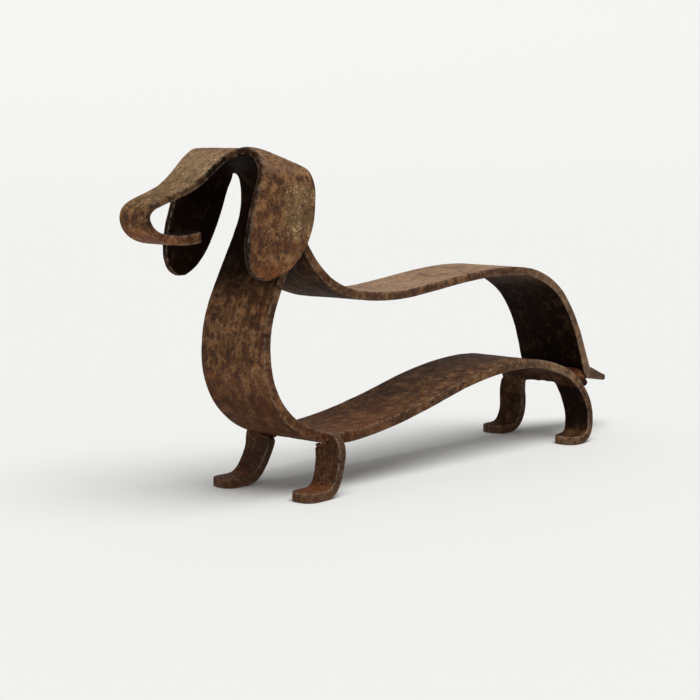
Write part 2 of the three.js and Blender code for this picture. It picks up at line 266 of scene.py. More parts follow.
# Back strip with the tail: x, half width, z, thickness.
BACK = [
    (-40.0, 8.6, 51.4, 1.9),
    (-37.5, 8.7, 47.8, 1.9),
    (-35.1, 8.8, 45.1, 1.9),
    (-32.1, 8.8, 42.8, 1.9),
    (-28.4, 8.7, 41.0, 1.9),
    (-23.8, 8.5, 39.7, 1.9),
    (-18.6, 8.3, 39.0, 1.9),
    (-13.0, 8.2, 38.7, 1.9),
    (-7.5, 8.2, 38.75, 1.8),
    (-2.0, 8.2, 39.25, 1.8),
    (3.5, 8.2, 39.85, 1.8),
    (9.0, 8.25, 40.55, 1.8),
    (14.5, 8.3, 41.1, 1.8),
    (20.0, 8.4, 41.5, 1.8),
    (25.5, 8.5, 41.7, 1.8),
    (30.5, 8.6, 41.6, 1.9),
    (35.0, 8.75, 41.15, 1.9),
    (39.3, 8.85, 40.1, 1.9),
    (43.3, 8.9, 38.35, 1.9),
    (47.1, 8.9, 36.0, 1.9),
    (50.2, 8.9, 33.0, 1.9),
    (52.75, 8.9, 29.5, 1.95),
    (54.7, 9.0, 26.0, 2.0),
    (56.2, 9.1, 22.6, 2.1),
    (57.35, 9.15, 19.6, 2.3),
    (58.4, 9.05, 17.2, 2.7),
    (60.0, 8.5, 15.6, 3.0),
    (62.5, 7.6, 15.0, 2.8),
    (65.8, 6.4, 14.35, 2.4),
    (69.5, 5.0, 13.55, 2.0),
    (73.1, 3.7, 12.75, 1.7),
    (76.0, 2.6, 12.15, 1.5),
    (77.7, 1.7, 11.8, 1.3),
    (78.4, 0.8, 11.7, 1.2),
]
# Weld metal between the root of the tail and the top of the hind legs: x, z of its outline.
TAIL_WELD_HALF = 8.9
TAIL_WELD = [
    (52.9, 15.9),
    (53.8, 14.5),
    (54.6, 13.6),
    (56.4, 13.4),
    (58.0, 13.4),
    (58.8, 13.7),
    (59.2, 14.3),
    (58.4, 15.4),
    (57.3, 16.7),
    (55.3, 15.7),
]
# On the dog's left the weld ends in a nub that hangs lower and stands further back.
NUB_START = 0.55
NUB_BACK = 2.3
NUB_DROP = 1.6
# How much the weld narrows at its two ends, how bluntly, and how rough its skin is.
WELD_NARROWING = 0.75
WELD_BLUNTNESS = 10
WELD_ROUGHNESS = 0.3
# Thin welds: points along the nape's bead, and y, z along a shoulder's bead on the dog's right.
NAPE_WELD = [(-41.1, -7.8, 51.0), (-41.1, -3.0, 51.0), (-41.1, 2.5, 51.0), (-41.1, 7.6, 51.0)]
NAPE_WELD_RADIUS = 0.75
SHOULDER_WELD = [(6.6, 9.85), (8.6, 9.95), (9.35, 10.8), (9.4, 12.3)]
SHOULDER_WELD_RADIUS = 0.42
SHOULDER_WELD_PLACES = {"front": -34.25, "rear": -32.2}
BEAD_ROUGHNESS = 0.1
# Front leg: its shoulder stands beside the body strip, and the part below steps in under it.
SHOULDER_INNER = BELLY_HALF + WELD_GAP
INNER_STEP = 0.4
# Shoulder: x, outer y, z.
SHOULDER = [
    (-33.15, 11.4, 12.4),
    (-33.2, 12.5, 11.6),
    (-33.2, 13.1, 10.6),
]
# Front leg: x, inner y, z, outer y, from under the belly down to the rounded toe.
FRONT_LEG = [
    (-33.25, 6.1, 9.65, 13.3),
    (-33.25, 6.3, 8.8, 13.35),
    (-33.4, 6.6, 7.6, 13.4),
    (-34.0, 7.0, 5.9, 13.5),
    (-34.9, 7.4, 4.0, 13.75),
    (-36.1, 7.8, 2.25, 14.0),
    (-37.8, 8.05, 1.15, 14.2),
    (-40.2, 8.2, SOLE, 14.3),
    (-42.6, 8.2, SOLE, 14.3),
    (-43.9, 8.7, SOLE, 13.9),
    (-44.4, 9.8, SOLE, 12.9),
]
# How much further out a front leg is for each millimetre above its sole.
LEFT_LEAN = -0.02
RIGHT_LEAN = 0.045

# The solids are centred on the ground, which moves them along x.
NOSE_X = -76.718
SHIFT = Vector((cad_low.x / MM - NOSE_X, 0, 0))

# Camera of the photograph
CAMERA_PLACE = Vector((-289.1, -244.6, 70.7))
CAMERA_FORWARD = Vector((0.739, 0.6632, -0.1185))
CAMERA_LENS = 89.735


# Curves


def smooth(rows, per_span):
    """Points on a centripetal curve through the rows, whose first three columns are the place."""
    rows = np.array(rows, float)
    rows = np.vstack([2 * rows[0] - rows[1], rows, 2 * rows[-1] - rows[-2]])
    share = np.arange(per_span)[:, None] / per_span
    spans = []
    for i in range(1, len(rows) - 2):
        a, b, c, d = rows[i - 1 : i + 3]
        ab, bc, cd = (math.sqrt(np.linalg.norm(q[:3] - p[:3])) for p, q in ((a, b), (b, c), (c, d)))
        start = bc * ((b - a) / ab - (c - a) / (ab + bc) + (c - b) / bc)
        end = bc * ((c - b) / bc - (d - b) / (bc + cd) + (d - c) / cd)
        square = 3 * (c - b) - 2 * start - end
        cube = 2 * (b - c) + start + end
        spans.append(b + start * share + square * share**2 + cube * share**3)
    spans.append(rows[-2][None])
    return np.vstack(spans)


def lengths(places):
    """Distance along a line of places, from its start to each of them."""
    steps = np.linalg.norm(np.diff(places, axis=0), axis=1)
    return np.concatenate([[0], np.cumsum(steps)])


def even(curve, step=CELL, axes=(0, 2)):
    """The same curve with its points at even distances, by default in the side view."""
    along = lengths(curve[:, list(axes)])
    count = max(2, round(along[-1] / step))
    wanted = np.linspace(0, along[-1], count + 1)
    return np.column_stack([np.interp(wanted, along, column) for column in curve.T])


def ramp(values, low, high):
    """Rises smoothly from 0 at low to 1 at high. It falls where low is above high."""
    share = np.clip((values - low) / (high - low), 0, 1)
    return share * share * (3 - 2 * share)


# Noise


def lattice(cells, seed):
    """A number from -1 to 1 for each whole-numbered place."""
    x, y, z = (cells[..., k].astype(np.uint32) for k in range(3))
    mixed = x * np.uint32(374761393) + y * np.uint32(668265263) + z * np.uint32(2246822519)
    mixed += np.uint32(seed * 3266489917 % 2**32)
    mixed = (mixed ^ (mixed >> np.uint32(13))) * np.uint32(1274126177)
    mixed ^= mixed >> np.uint32(16)
    return mixed.astype(float) / 2**31 - 1


def noise(places, seed):
    """The lattice's numbers, blended smoothly between its places."""
    cells = np.floor(places).astype(np.int64)
    share = places - cells
    share = share * share * (3 - 2 * share)
    total = np.zeros(len(places))
    for corner in np.ndindex(2, 2, 2):
        weight = np.prod(np.where(corner, share, 1 - share), axis=1)
        total += weight * lattice(cells + corner, seed)
    return total


def cloud(places, seed, octaves=3):
    """Noise of several sizes, from about -1 to 1."""
    total = np.zeros(len(places))
    for k in range(octaves):
        total += noise(places * 2**k, seed + k) / 2**k
    return total / 1.5


# Patina and painted shade: how strongly each tone shows at each place, from 0 to 1. Its ramps run between
# millimetres.


def body_patina_and_shade(places, side):
    """Side is 1 on the outer skin of the bends, -1 on the inner one and 0 on the rims."""
    x, y, z = places.T
    skin, rim = side > 0, side == 0
    ear = ramp(abs(y), 9.4, 10.6) * ramp(z, 40, 42)
    head = ramp(x, -57, -59) * ramp(z, 48, 50)
    crown = ramp(z, 63.5, 65.5)
    leg = ramp(x, 46, 50) * ramp(z, 15.5, 12)
    toe = leg * ramp(z, 3.5, 1.5)
    under_head = ramp(z, 37, 46)
    belly = ramp(x, -44, -36) * ramp(z, 24, 20)
    shaded_leg = leg * np.where(y > 0, 0.6, 1.0) * (1 - 0.5 * toe)
    # The front of the chest is the inner side of its bend.
    shaded_chest = 0.5 * ramp(z, 26, 19) * ramp(x, -36, -42)
    # Painted shade, darkening the inner skin under the snout, down the front of the neck below the head,
    # under the belly, on the hind legs' fronts and on the chest's front. On the ears and the crown the inner
    # skin is dark patina and painted shade.
    shaded = [0.75 * head, 0.96 * under_head, 0.7 * belly, shaded_leg, shaded_chest]
    inner = np.maximum.reduce([ear, crown, *shaded])
    neck = under_head * (1 - ear) * (1 - head) * (1 - crown)
    body = ramp(z, 46, 38) * (1 - leg)
    jaw = head * ramp(z, 56, 54)
    jaw_end = jaw * ramp(x, -64.5, -61)
    # Painted shade on the outer skin: the back of the neck below the head, the lower body and the end of the
    # jaw. The hind legs are darker too.
    outer = np.maximum.reduce([0.5 * neck, 0.15 * body, 0.4 * leg, 0.8 * jaw_end])
    # The rims at the front of the head are dark patina; at the end of the jaw their darkening is painted
    # shade.
    front_rims = 0.8 * np.maximum(ear, crown) * ramp(x, -46, -52) + 0.55 * head * (1 - jaw) + 0.8 * jaw_end
    rims = np.maximum.reduce([0.3 + 0.25 * belly * ramp(x, 10, -20), front_rims, 0.65 * leg])
    low_chest = ramp(z, 30, 15) * ramp(x, -30, -38)
    ear_tip = ramp(z, 49, 45) * ear
    orange = 0.75 * low_chest + 0.65 * belly * ramp(x, 5, -25) + 0.7 * ear_tip + 0.6 * toe + 0.6 * jaw
    forehead = ramp(x, -52, -60) * ramp(z, 56, 62)
    speckled_ear = 0.8 * ear * ramp(x, -51, -46) * ramp(z, 50, 55) * ramp(z, 64, 61)
    rump_rim = 0.6 * ramp(x, 34, 44) * ramp(z, 14, 17)
    return {
        "oxide_and_shade": np.select([side < 0, skin], [inner, outer], rims),
        "orange": np.clip(orange, 0, 1),
        "khaki": np.maximum(forehead, speckled_ear) * skin + rump_rim * rim,
        "pink": 0.3 * ramp(x, 20, 48) * rim + 0.4 * crown * skin,
    }


def back_patina_and_shade(places, side):
    x, _, z = places.T
    skin, rim = side > 0, side == 0
    rump = ramp(x, 26, 46)
    tail = ramp(x, 60, 64)
    tip = ramp(x, 72, 77)
    # Painted shade, with dark patina: the underside of the back and the inner face of the rump are darkened.
    inner = np.maximum(0.7, rump) * (1 - tail) + 0.5 * tail
    root = ramp(x, 56, 58.5) * ramp(x, 62, 60)
    return {
        "oxide_and_shade": np.maximum(0.9 * tip, np.select([side < 0, skin], [inner, 0.5 * tail], 0.3 + 0.2 * tail)),
        "orange": 0.5 * ramp(z, 21, 16) * (1 - tail) + 0.25 * ramp(x, -20, -34) * rim,
        "khaki": 0.8 * root * rim,
        "pink": np.where(skin, 1 - rump, 0.5 * rump * (1 - tail)),
    }


def leg_patina(places, side):
    _, _, z = places.T
    toe = ramp(z, 3.5, 1.8)
    return {
        "oxide_and_shade": np.select([side < 0, side > 0], [0.25 * (1 - toe), 0.5 * (1 - toe)], 0.5),
        "orange": 0.6 * toe + 0.2,
        "khaki": 0 * z,
        "pink": 0.3 * (side == 0),
    }


def weld_patina(places):
    """Welds are orange-brown and darker at the bottom under the tail. They have no grain and no arris."""
    none = np.zeros(len(places))
    under_tail = ramp(places[:, 0], 50, 52) * ramp(places[:, 2], 15.2, 13.8)
    names = ("khaki", "pink", "grain", "arris")
    return {"oxide_and_shade": 0.25 + 0.65 * under_tail, "orange": none + 0.8, **dict.fromkeys(names, none)}


# Sheets


class Sheet:
    """The middle surface of a bent plate, in quads, with its flat coordinates and grain strength."""

    def __init__(self):
        self.places = np.zeros((0, 3))
        self.flat = np.zeros((0, 2))
        self.thickness = np.zeros(0)
        self.grain = np.zeros(0)
        self.quads = []

    def add(self, places, flat, thickness, grain=1.0):
        """Adds a grid of rows and columns, and returns the grid of its vertex numbers."""
        shape = places.shape[:2]
        start = len(self.places)
        self.places = np.vstack([self.places, places.reshape(-1, 3)])
        self.flat = np.vstack([self.flat, flat.reshape(-1, 2)])
        self.thickness = np.concatenate([self.thickness, np.broadcast_to(thickness, shape).reshape(-1)])
        self.grain = np.concatenate([self.grain, np.broadcast_to(grain, shape).reshape(-1)])
        return np.arange(start, start + shape[0] * shape[1]).reshape(shape)

    def join(self, grid, flip=False):
        """Quads over a grid of vertex numbers, facing the outer side of the bends."""
        corners = [grid[:-1, :-1], grid[1:, :-1], grid[1:, 1:], grid[:-1, 1:]]
        quads = np.stack(corners, axis=-1).reshape(-1, 4)
        self.quads.append(quads[:, ::-1] if flip else quads)


def unit(vectors):
    sizes = np.linalg.norm(vectors, axis=-1, keepdims=True)
    return vectors / np.maximum(sizes, 1e-9)


def sheet_normals(places, quads):
    a, b, c, d = (places[quads[:, k]] for k in range(4))
    facing = np.cross(c - a, d - b)
    sums = np.zeros_like(places)
    for k in range(4):
        np.add.at(sums, quads[:, k], facing)
    return unit(sums), facing


def open_edges(quads, count):
    """Directed edges that only one quad has, and that quad's number."""
    start = quads.reshape(-1)
    end = np.roll(quads, -1, axis=1).reshape(-1)
    single = ~np.isin(start * count + end, end * count + start)
    owner = np.repeat(np.arange(len(quads)), 4)
    return start[single], end[single], owner[single]


def rim_profile(thickness, radius):
    """Steps out, up and how close to the arris, from the rim's start on the upper skin to its end."""
    half = thickness / 2
    upper = []
    for angle, arris in ((60, 0.7), (30, 1.0), (0, 0.3)):
        turn = math.radians(angle)
        upper.append((radius * math.cos(turn), half - radius + radius * math.sin(turn), arris))
    middle = [(radius, np.zeros_like(half), 0.0)]
    lower = [(out, -up, arris) for out, up, arris in reversed(upper)]
    return upper + middle + lower


def dented(places, normals, side, seed):
    """Shallow dents, crust and rust pits: how far each point moves along its normal."""
    dents = DENT_DEPTH * cloud(places / DENT_SIZE, seed, 2)
    # The two skins share the dents, but not the crust and the pits.
    crust = CRUST_DEPTH * cloud(places / CRUST_SIZE + side[:, None] * 40, seed + 7, 2)
    pits = cloud(places / PIT_SIZE + side[:, None] * 90, seed + 11, 2)
    return dents * side + crust - PIT_DEPTH * np.clip(pits - PIT_START, 0, 1)


def along_rim(values, start, end):
    """The same values, evened out along the rim, so that its corners are rounded."""
    before = np.arange(len(values))
    after = before.copy()
    before[end] = start
    after[start] = end
    for _ in range(RIM_ROUNDS):
        values = (values + (values[before] + values[after]) / 2) / 2
    return values


def nearest_rim(places, rim):
    """For each place the nearest vertex of the rim, and how far away it is."""
    tree = KDTree(len(rim))
    for number in rim:
        tree.insert(places[number], int(number))
    tree.balance()
    found = [tree.find(place) for place in places]
    return np.array([number for _, number, _ in found]), np.array([distance for _, _, distance in found])


def plate(name, sheet, seed, patina_and_shade):
    """Gives a sheet its thickness and worn edges and makes it an object."""
    quads = np.vstack(sheet.quads)
    middle = sheet.places
    count = len(middle)
    start, end, owner = open_edges(quads, count)
    _, facing = sheet_normals(middle, quads)
    outward = np.zeros_like(middle)
    out_of_edge = unit(np.cross(middle[end] - middle[start], facing[owner]))
    np.add.at(outward, start, out_of_edge)
    np.add.at(outward, end, out_of_edge)
    outward = unit(along_rim(unit(outward), start, end))

    # The middle surface is drawn in at its rim and rounded at its corners, less and less further inside.
    rim = np.unique(start)
    rounded = along_rim(middle, start, end) - middle
    inset = outward * (RAGGED * cloud(middle / RAGGED_SIZE, seed + 3) - WORN_RADIUS)[:, None]
    nearest, inward = nearest_rim(middle, rim)
    wide_fade = np.clip(1 - inward / ROUNDED_REACH, 0, 1)[:, None]
    narrow_fade = np.clip(1 - inward / INSET_REACH, 0, 1)[:, None]
    places = middle + rounded[nearest] * wide_fade + inset[nearest] * narrow_fade
    normals, _ = sheet_normals(places, quads)

    half = (sheet.thickness / 2)[:, None]
    one = np.ones(count)
    upper = places + normals * (half + dented(places, normals, one, seed)[:, None])
    lower = places - normals * (half + dented(places, normals, -one, seed)[:, None])

    slot_of = np.full(count, -1)
    slot_of[rim] = np.arange(len(rim))
    worn = WORN_RADIUS * (1 + WORN_SPREAD * cloud(places[rim] / WORN_SIZE, seed + 5))
    rings = []
    arrises = []
    for out, up, arris in rim_profile(sheet.thickness[rim], worn):
        ring = places[rim] + outward[rim] * np.reshape(out, (-1, 1)) + normals[rim] * np.reshape(up, (-1, 1))
        grain = RIM_GRAIN * cloud(ring / RIM_GRAIN_SIZE, seed + 9, 2)
        rings.append(ring + outward[rim] * grain[:, None])
        arrises.append(np.full(len(rim), arris))
    vertices = np.vstack([upper, lower, *rings])
    # The relief of the soles doesn't go below the ground.
    vertices[:, 2] = np.maximum(vertices[:, 2], 0)

    def ring_numbers(of):
        steps = [of] + [2 * count + k * len(rim) + slot_of[of] for k in range(len(rings))] + [of + count]
        return np.stack(steps, axis=1)

    from_ring, to_ring = ring_numbers(start), ring_numbers(end)
    walls = [
        np.stack([to_ring[:, k], from_ring[:, k], from_ring[:, k + 1], to_ring[:, k + 1]], axis=1)
        for k in range(len(rings) + 1)
    ]
    faces = np.vstack([quads, quads[:, ::-1] + count, *walls])

    side = np.concatenate([one, -one, np.zeros(len(rings) * len(rim))])
    numbers = {
        "arris": np.concatenate([0 * one, 0 * one, *arrises]),
        "grain": np.concatenate([sheet.grain, sheet.grain] + [sheet.grain[rim]] * len(rings)),
        **patina_and_shade(vertices, side),
    }
    flat = np.vstack([sheet.flat, sheet.flat] + [sheet.flat[rim]] * len(rings))
    return mesh_object(name, vertices, faces.tolist(), flat, numbers)


def mesh_object(name, vertices, faces, flat, numbers):
    """A smooth mesh in metres, with its flat coordinates as a UV map and numbers as attributes."""
    mesh = bpy.data.meshes.new(name)
    mesh.from_pydata(((vertices + np.array(SHIFT)) * MM).tolist(), [], faces)
    mesh.polygons.foreach_set("use_smooth", np.ones(len(faces), bool))
    loops = np.zeros(len(mesh.loops), np.int32)
    mesh.loops.foreach_get("vertex_index", loops)
    layer = mesh.uv_layers.new(name="flat")
    layer.data.foreach_set("uv", (flat[loops] / FLAT_UNIT).astype(np.float32).ravel())
    for key, values in numbers.items():
        attribute = mesh.attributes.new(key, "FLOAT", "POINT")
        attribute.data.foreach_set("value", values.astype(np.float32))
    mesh.update()
    made = bpy.data.objects.new(name, mesh)
    bpy.context.scene.collection.objects.link(made)
    return made


# Body strip


def columns(half, share):
    """Column places across the strip from -1 to 1, with columns at the slot's two edges."""
    outer = round(half * (1 - share) / CELL)
    inner = round(2 * half * share / CELL)
    left = np.linspace(-1, -share, outer + 1)
    middle = np.linspace(-share, share, inner + 1)
    return np.concatenate([left, middle[1:-1], -left[::-1]]), outer


def add_ear(sheet, root, along, front_line, rear_line, side):
    """One ear, joined to the crown's edge. Its rows run from its front edge to its rear edge."""
    base = sheet.places[root]
    mirrored = np.array([1, side, 1])
    front = smooth([base[0], *(np.array(front_line) * mirrored)], EAR_POINTS)
    rear = smooth([base[-1], *(np.array(rear_line) * mirrored)], EAR_POINTS)
    share = ((base[:, 0] - base[0, 0]) / (base[-1, 0] - base[0, 0]))[:, None]
    lift = base - (base[0] + (base[-1] - base[0]) * share)
    down = (lengths(front) + lengths(rear)) / 2
    rows, flat, grain = [], [], []
    for j in range(1, len(front)):
        arch = max(0, 1 - j / EAR_ARCH_ROWS) ** 2
        rows.append(front[j] + (rear[j] - front[j]) * share + lift * arch)
        flat_down = np.full(len(root), EAR_FLAT_ALONG + down[j])
        flat.append(np.column_stack([flat_down, side * EAR_FLAT_ASIDE + along]))
        grain.append(np.full(len(root), 0.6 * ramp(down[j], 8, 16)))
    grid = sheet.add(np.array(rows), np.array(flat), sheet.thickness[root], np.array(grain))
    sheet.join(np.vstack([root, grid]), flip=side > 0)


def add_hind_leg(sheet, top, along, line, side):
    """One hind leg, joined to the end of the belly beside the slot."""
    ends = sheet.places[top[[0, -1]]]
    inner_y, outer_y = sorted(abs(ends[:, 1]))
    first = (ends[:, 0].mean(), inner_y, ends[:, 2].mean(), outer_y)
    curve = even(smooth([first, *line], SPAN_POINTS))[1:]
    inner, outer = curve[:, 1], curve[:, 3]
    share = np.linspace(0, 1, len(top))[None, :]
    across = inner[:, None] + (outer - inner)[:, None] * share
    across = across if side > 0 else -across[:, ::-1]
    x = np.broadcast_to(curve[:, :1], across.shape)
    z = np.broadcast_to(np.maximum(curve[:, 2:3], SOLE), across.shape)
    down = along + np.arange(1, len(curve) + 1) * CELL
    flat = np.stack([np.broadcast_to(down[:, None], across.shape), across], axis=-1)
    grid = sheet.add(np.stack([x, across, z], axis=-1), flat, LEG_PLATE)
    sheet.join(np.vstack([top, grid]))


def body_strip():
    line = JAW_AND_SNOUT + CROWN + NECK_AND_CHEST + BELLY
    curve = smooth(line, SPAN_POINTS)
    curve = np.column_stack([curve, np.arange(len(curve)) / SPAN_POINTS])
    brow = BROW_ROW * SPAN_POINTS
    nape = (NAPE_ROW - 1) * SPAN_POINTS
    head, crown, rest = (even(part) for part in (curve[: brow + 1], curve[brow : nape + 1], curve[nape:]))
    rows = np.vstack([head, crown[1:], rest[1:]])
    crown_rows = slice(len(head) - 1, len(head) + len(crown) - 1)
    share = SLOT_HALF / rows[-1, 1]
    places_across, outer = columns(BELLY_HALF, share)
    across = rows[:, 1:2] * places_across
    twist = HIND_TWIST * ramp(rows[:, 3:4], len(line) - 1 - TWIST_ROWS, len(line) - 1)
    x = np.broadcast_to(rows[:, :1], across.shape)
    z = rows[:, 2:3] - twist * (1 + places_across) / 2
    along = lengths(rows[:, [0, 2]])
    flat = np.stack([np.broadcast_to(along[:, None], across.shape), across], axis=-1)
    thickness = np.interp(rows[:, 3:4], THICKNESS_ROWS, THICKNESS)
    grain = ramp(rows[:, 3:4], NAPE_ROW, NAPE_ROW + 6)
    sheet = Sheet()
    grid = sheet.add(np.stack([x, across, z], axis=-1), flat, thickness, grain)
    sheet.join(grid)
    add_ear(sheet, grid[crown_rows, -1], along[crown_rows], RIGHT_EAR_FRONT, RIGHT_EAR_REAR, 1)
    add_ear(sheet, grid[crown_rows, 0], along[crown_rows], LEFT_EAR_FRONT, LEFT_EAR_REAR, -1)
    add_hind_leg(sheet, grid[-1, -outer - 1 :], along[-1], RIGHT_HIND_LEG, 1)
    add_hind_leg(sheet, grid[-1, : outer + 1], along[-1], LEFT_HIND_LEG, -1)
    return plate("body_strip_worn", sheet, BODY_SEED, body_patina_and_shade)


# Back strip and front legs


def back_strip():
    rows = even(smooth(BACK, SPAN_POINTS))
    count = round(2 * BELLY_HALF / CELL)
    across = rows[:, 1:2] * np.linspace(-1, 1, count + 1)
    x, z = (np.broadcast_to(rows[:, k : k + 1], across.shape) for k in (0, 2))
    along = lengths(rows[:, [0, 2]]) + BACK_FLAT_ALONG
    flat = np.stack([np.broadcast_to(along[:, None], across.shape), across], axis=-1)
    sheet = Sheet()
    sheet.join(sheet.add(np.stack([x, across, z], axis=-1), flat, rows[:, 3:4]))
    return plate("back_strip_worn", sheet, BACK_SEED, back_patina_and_shade)


def front_leg(name, side, lean):
    """A leg with its shoulder. Under and beside are its cells below the body strip and outside it."""
    under, beside = 8, 9

    def row(x, z, reach):
        places = [(x, side * (y + lean * (z - SOLE)), z) for y in reach]
        return places, [(z - x, y + LEG_FLAT_ASIDE * side) for y in reach]

    leg = []
    for x, inner, z, outer in even(smooth(FRONT_LEG, SPAN_POINTS), LEG_CELL):
        notch = max(SHOULDER_INNER - lean * (z - SOLE), inner + INNER_STEP)
        inside = np.linspace(inner, notch, under + 1)
        outside = np.linspace(notch, outer, beside + 1)
        leg.append(row(x, max(z, SOLE), [*inside, *outside[1:]]))
    top_x, _, top_z, top_outer = FRONT_LEG[0]
    shoulder = smooth([*SHOULDER, (top_x, top_outer, top_z)], SPAN_POINTS)
    above = []
    for x, outer, z in even(shoulder, LEG_CELL)[:-1]:
        above.append(row(x, z, np.linspace(SHOULDER_INNER - lean * (z - SOLE), outer, beside + 1)))
    sheet = Sheet()
    grid = sheet.add(*(np.array([part[k] for part in leg]) for k in (0, 1)), LEG_PLATE)
    top = sheet.add(*(np.array([part[k] for part in above]) for k in (0, 1)), LEG_PLATE)
    sheet.join(np.vstack([top, grid[:1, under:]]), flip=side < 0)
    sheet.join(grid, flip=side < 0)
    return plate(name, sheet, LEG_SEED + side, leg_patina)


# Welds


def lump(name, rings, seed, roughness):
    """A closed, lumpy body from rings of places. Its ends are closed with a point."""
    lump_size = 1.2
    ring_count, around = rings.shape[:2]
    middles = rings.mean(axis=1)
    places = np.vstack([rings.reshape(-1, 3), middles[0], middles[-1]])
    numbers = np.arange(ring_count * around).reshape(ring_count, around)
    following = np.roll(numbers, -1, axis=1)
    quads = np.stack([numbers[:-1], following[:-1], following[1:], numbers[1:]], axis=-1).reshape(-1, 4)
    normals, _ = sheet_normals(places, quads)
    normals[-2:] = unit(np.array([middles[0] - middles[1], middles[-1] - middles[-2]]))
    places = places + normals * (roughness * cloud(places / lump_size, seed))[:, None]
    first, last = len(places) - 2, len(places) - 1
    faces = quads.tolist()
    faces += [(first, b, a) for a, b in zip(numbers[0].tolist(), following[0].tolist())]
    faces += [(last, a, b) for a, b in zip(numbers[-1].tolist(), following[-1].tolist())]
    return mesh_object(name, places, faces, places[:, :2], weld_patina(places))


def bead(name, path, radius, seed):
    """A run of weld metal along a path, with the ripples that the weld pool leaves."""
    ripple = 0.9
    ripple_depth = 0.12
    bluntness = 6
    around = 14
    # No bead runs in this direction.
    slanted = np.array([0.31, 0.17, 0.94])
    line = even(smooth(path, BEAD_POINTS), BEAD_CELL, (0, 1, 2))
    along = lengths(line)
    ends = np.sqrt(np.clip(1 - (2 * along / along[-1] - 1) ** bluntness, 0.02, 1))
    size = radius * ends * (1 + ripple_depth * np.cos(2 * math.pi * along / ripple))
    tangent = unit(np.gradient(line, axis=0))
    aside = unit(np.cross(tangent, slanted))
    rise = np.cross(tangent, aside)
    turn = np.arange(around) * 2 * math.pi / around
    reach = aside[:, None] * np.cos(turn)[None, :, None] + rise[:, None] * np.sin(turn)[None, :, None]
    return lump(name, line[:, None] + reach * size[:, None, None], seed, BEAD_ROUGHNESS)


def tail_weld():
    """The outline is drawn out across the strip. It follows the strip's twist and narrows at both ends."""
    outline = np.array([(x, 0.0, z) for x, z in TAIL_WELD])
    closed = np.vstack([outline[-3:], outline, outline[:3]])
    curve = smooth(closed, WELD_POINTS)[3 * WELD_POINTS : -2 * WELD_POINTS - 1]
    loop = even(curve, WELD_CELL)[:-1]
    least, most = outline.min(axis=0), outline.max(axis=0)
    middle = (least + most) / 2
    near_strip = (most[0] - loop[:, 0]) / (most[0] - least[0])
    low = (most[2] - loop[:, 2]) / (most[2] - least[2])
    rings = []
    for across in np.linspace(-1, 1, round(2 * TAIL_WELD_HALF / WELD_CELL) + 1):
        nub = low**2 * ramp(-across, NUB_START, 1)
        ring = middle + (loop - middle) * math.sqrt(1 - WELD_NARROWING * across**WELD_BLUNTNESS)
        ring[:, 0] += NUB_BACK * nub * (1 - near_strip)
        ring[:, 1] = across * TAIL_WELD_HALF
        ring[:, 2] -= NUB_DROP * nub + HIND_TWIST * near_strip * (1 + across) / 2
        rings.append(ring)
    return lump("tail_weld_worn", np.array(rings), TAIL_WELD_SEED, WELD_ROUGHNESS)


# Materials


class Nodes:
    """A short way to write a material's node tree."""

    def __init__(self, name):
        self.material = bpy.data.materials.new(name)
        self.material.use_nodes = True
        self.tree = self.material.node_tree
        self.shader = self.tree.nodes["Principled BSDF"]

    def add(self, kind, settings=None, **inputs):
        node = self.tree.nodes.new(kind)
        for key, value in (settings or {}).items():
            setattr(node, key, value)
        for key, value in inputs.items():
            self.put(node, key.replace("_", " "), value)
        return node

    def put(self, node, key, value):
        socket = node.inputs[int(key) if key.isdigit() else key]
        if isinstance(value, bpy.types.NodeSocket):
            self.tree.links.new(value, socket)
        else:
            socket.default_value = value

    def math(self, operation, a, b=0.0, clamp=False):
        node = self.tree.nodes.new("ShaderNodeMath")
        node.operation = operation
        node.use_clamp = clamp
        self.put(node, "0", a)
        self.put(node, "1", b)
        return node.outputs[0]

    def noise(self, vector, scale, detail=4.0, roughness=0.55, distortion=0.0):
        node = self.add(
            "ShaderNodeTexNoise",
            Vector=vector,
            Scale=scale,
            Detail=detail,
            Roughness=roughness,
            Distortion=distortion,
        )
        return node.outputs["Fac"]

    def stretch(self, vector, scale):
        node = self.add("ShaderNodeMapping", Vector=vector, Scale=scale)
        return node.outputs[0]

    def step(self, value, low, high, start=0.0, end=1.0):
        node = self.add("ShaderNodeMapRange", {"interpolation_type": "SMOOTHSTEP"}, Value=value)
        for key, number in (("From Min", low), ("From Max", high), ("To Min", start), ("To Max", end)):
            self.put(node, key, number)
        return node.outputs[0]

    def mix(self, share, first, second, blend="MIX"):
        node = self.tree.nodes.new("ShaderNodeMix")
        node.data_type = "RGBA"
        node.blend_type = blend
        # The colours of this node are its sockets 6 and 7, and its colour output is number 2.
        self.put(node, "0", share)
        self.put(node, "6", first)
        self.put(node, "7", second)
        return node.outputs[2]

    def attribute(self, name):
        return self.add("ShaderNodeAttribute", {"attribute_name": name}).outputs["Fac"]


def colour(red, green, blue):
    """A screen colour of 0 to 255 as the linear colour that a shader takes."""
    linear = [((c / 255 + 0.055) / 1.055) ** 2.4 if c > 10 else c / 255 / 12.92 for c in (red, green, blue)]
    return (*linear, 1.0)


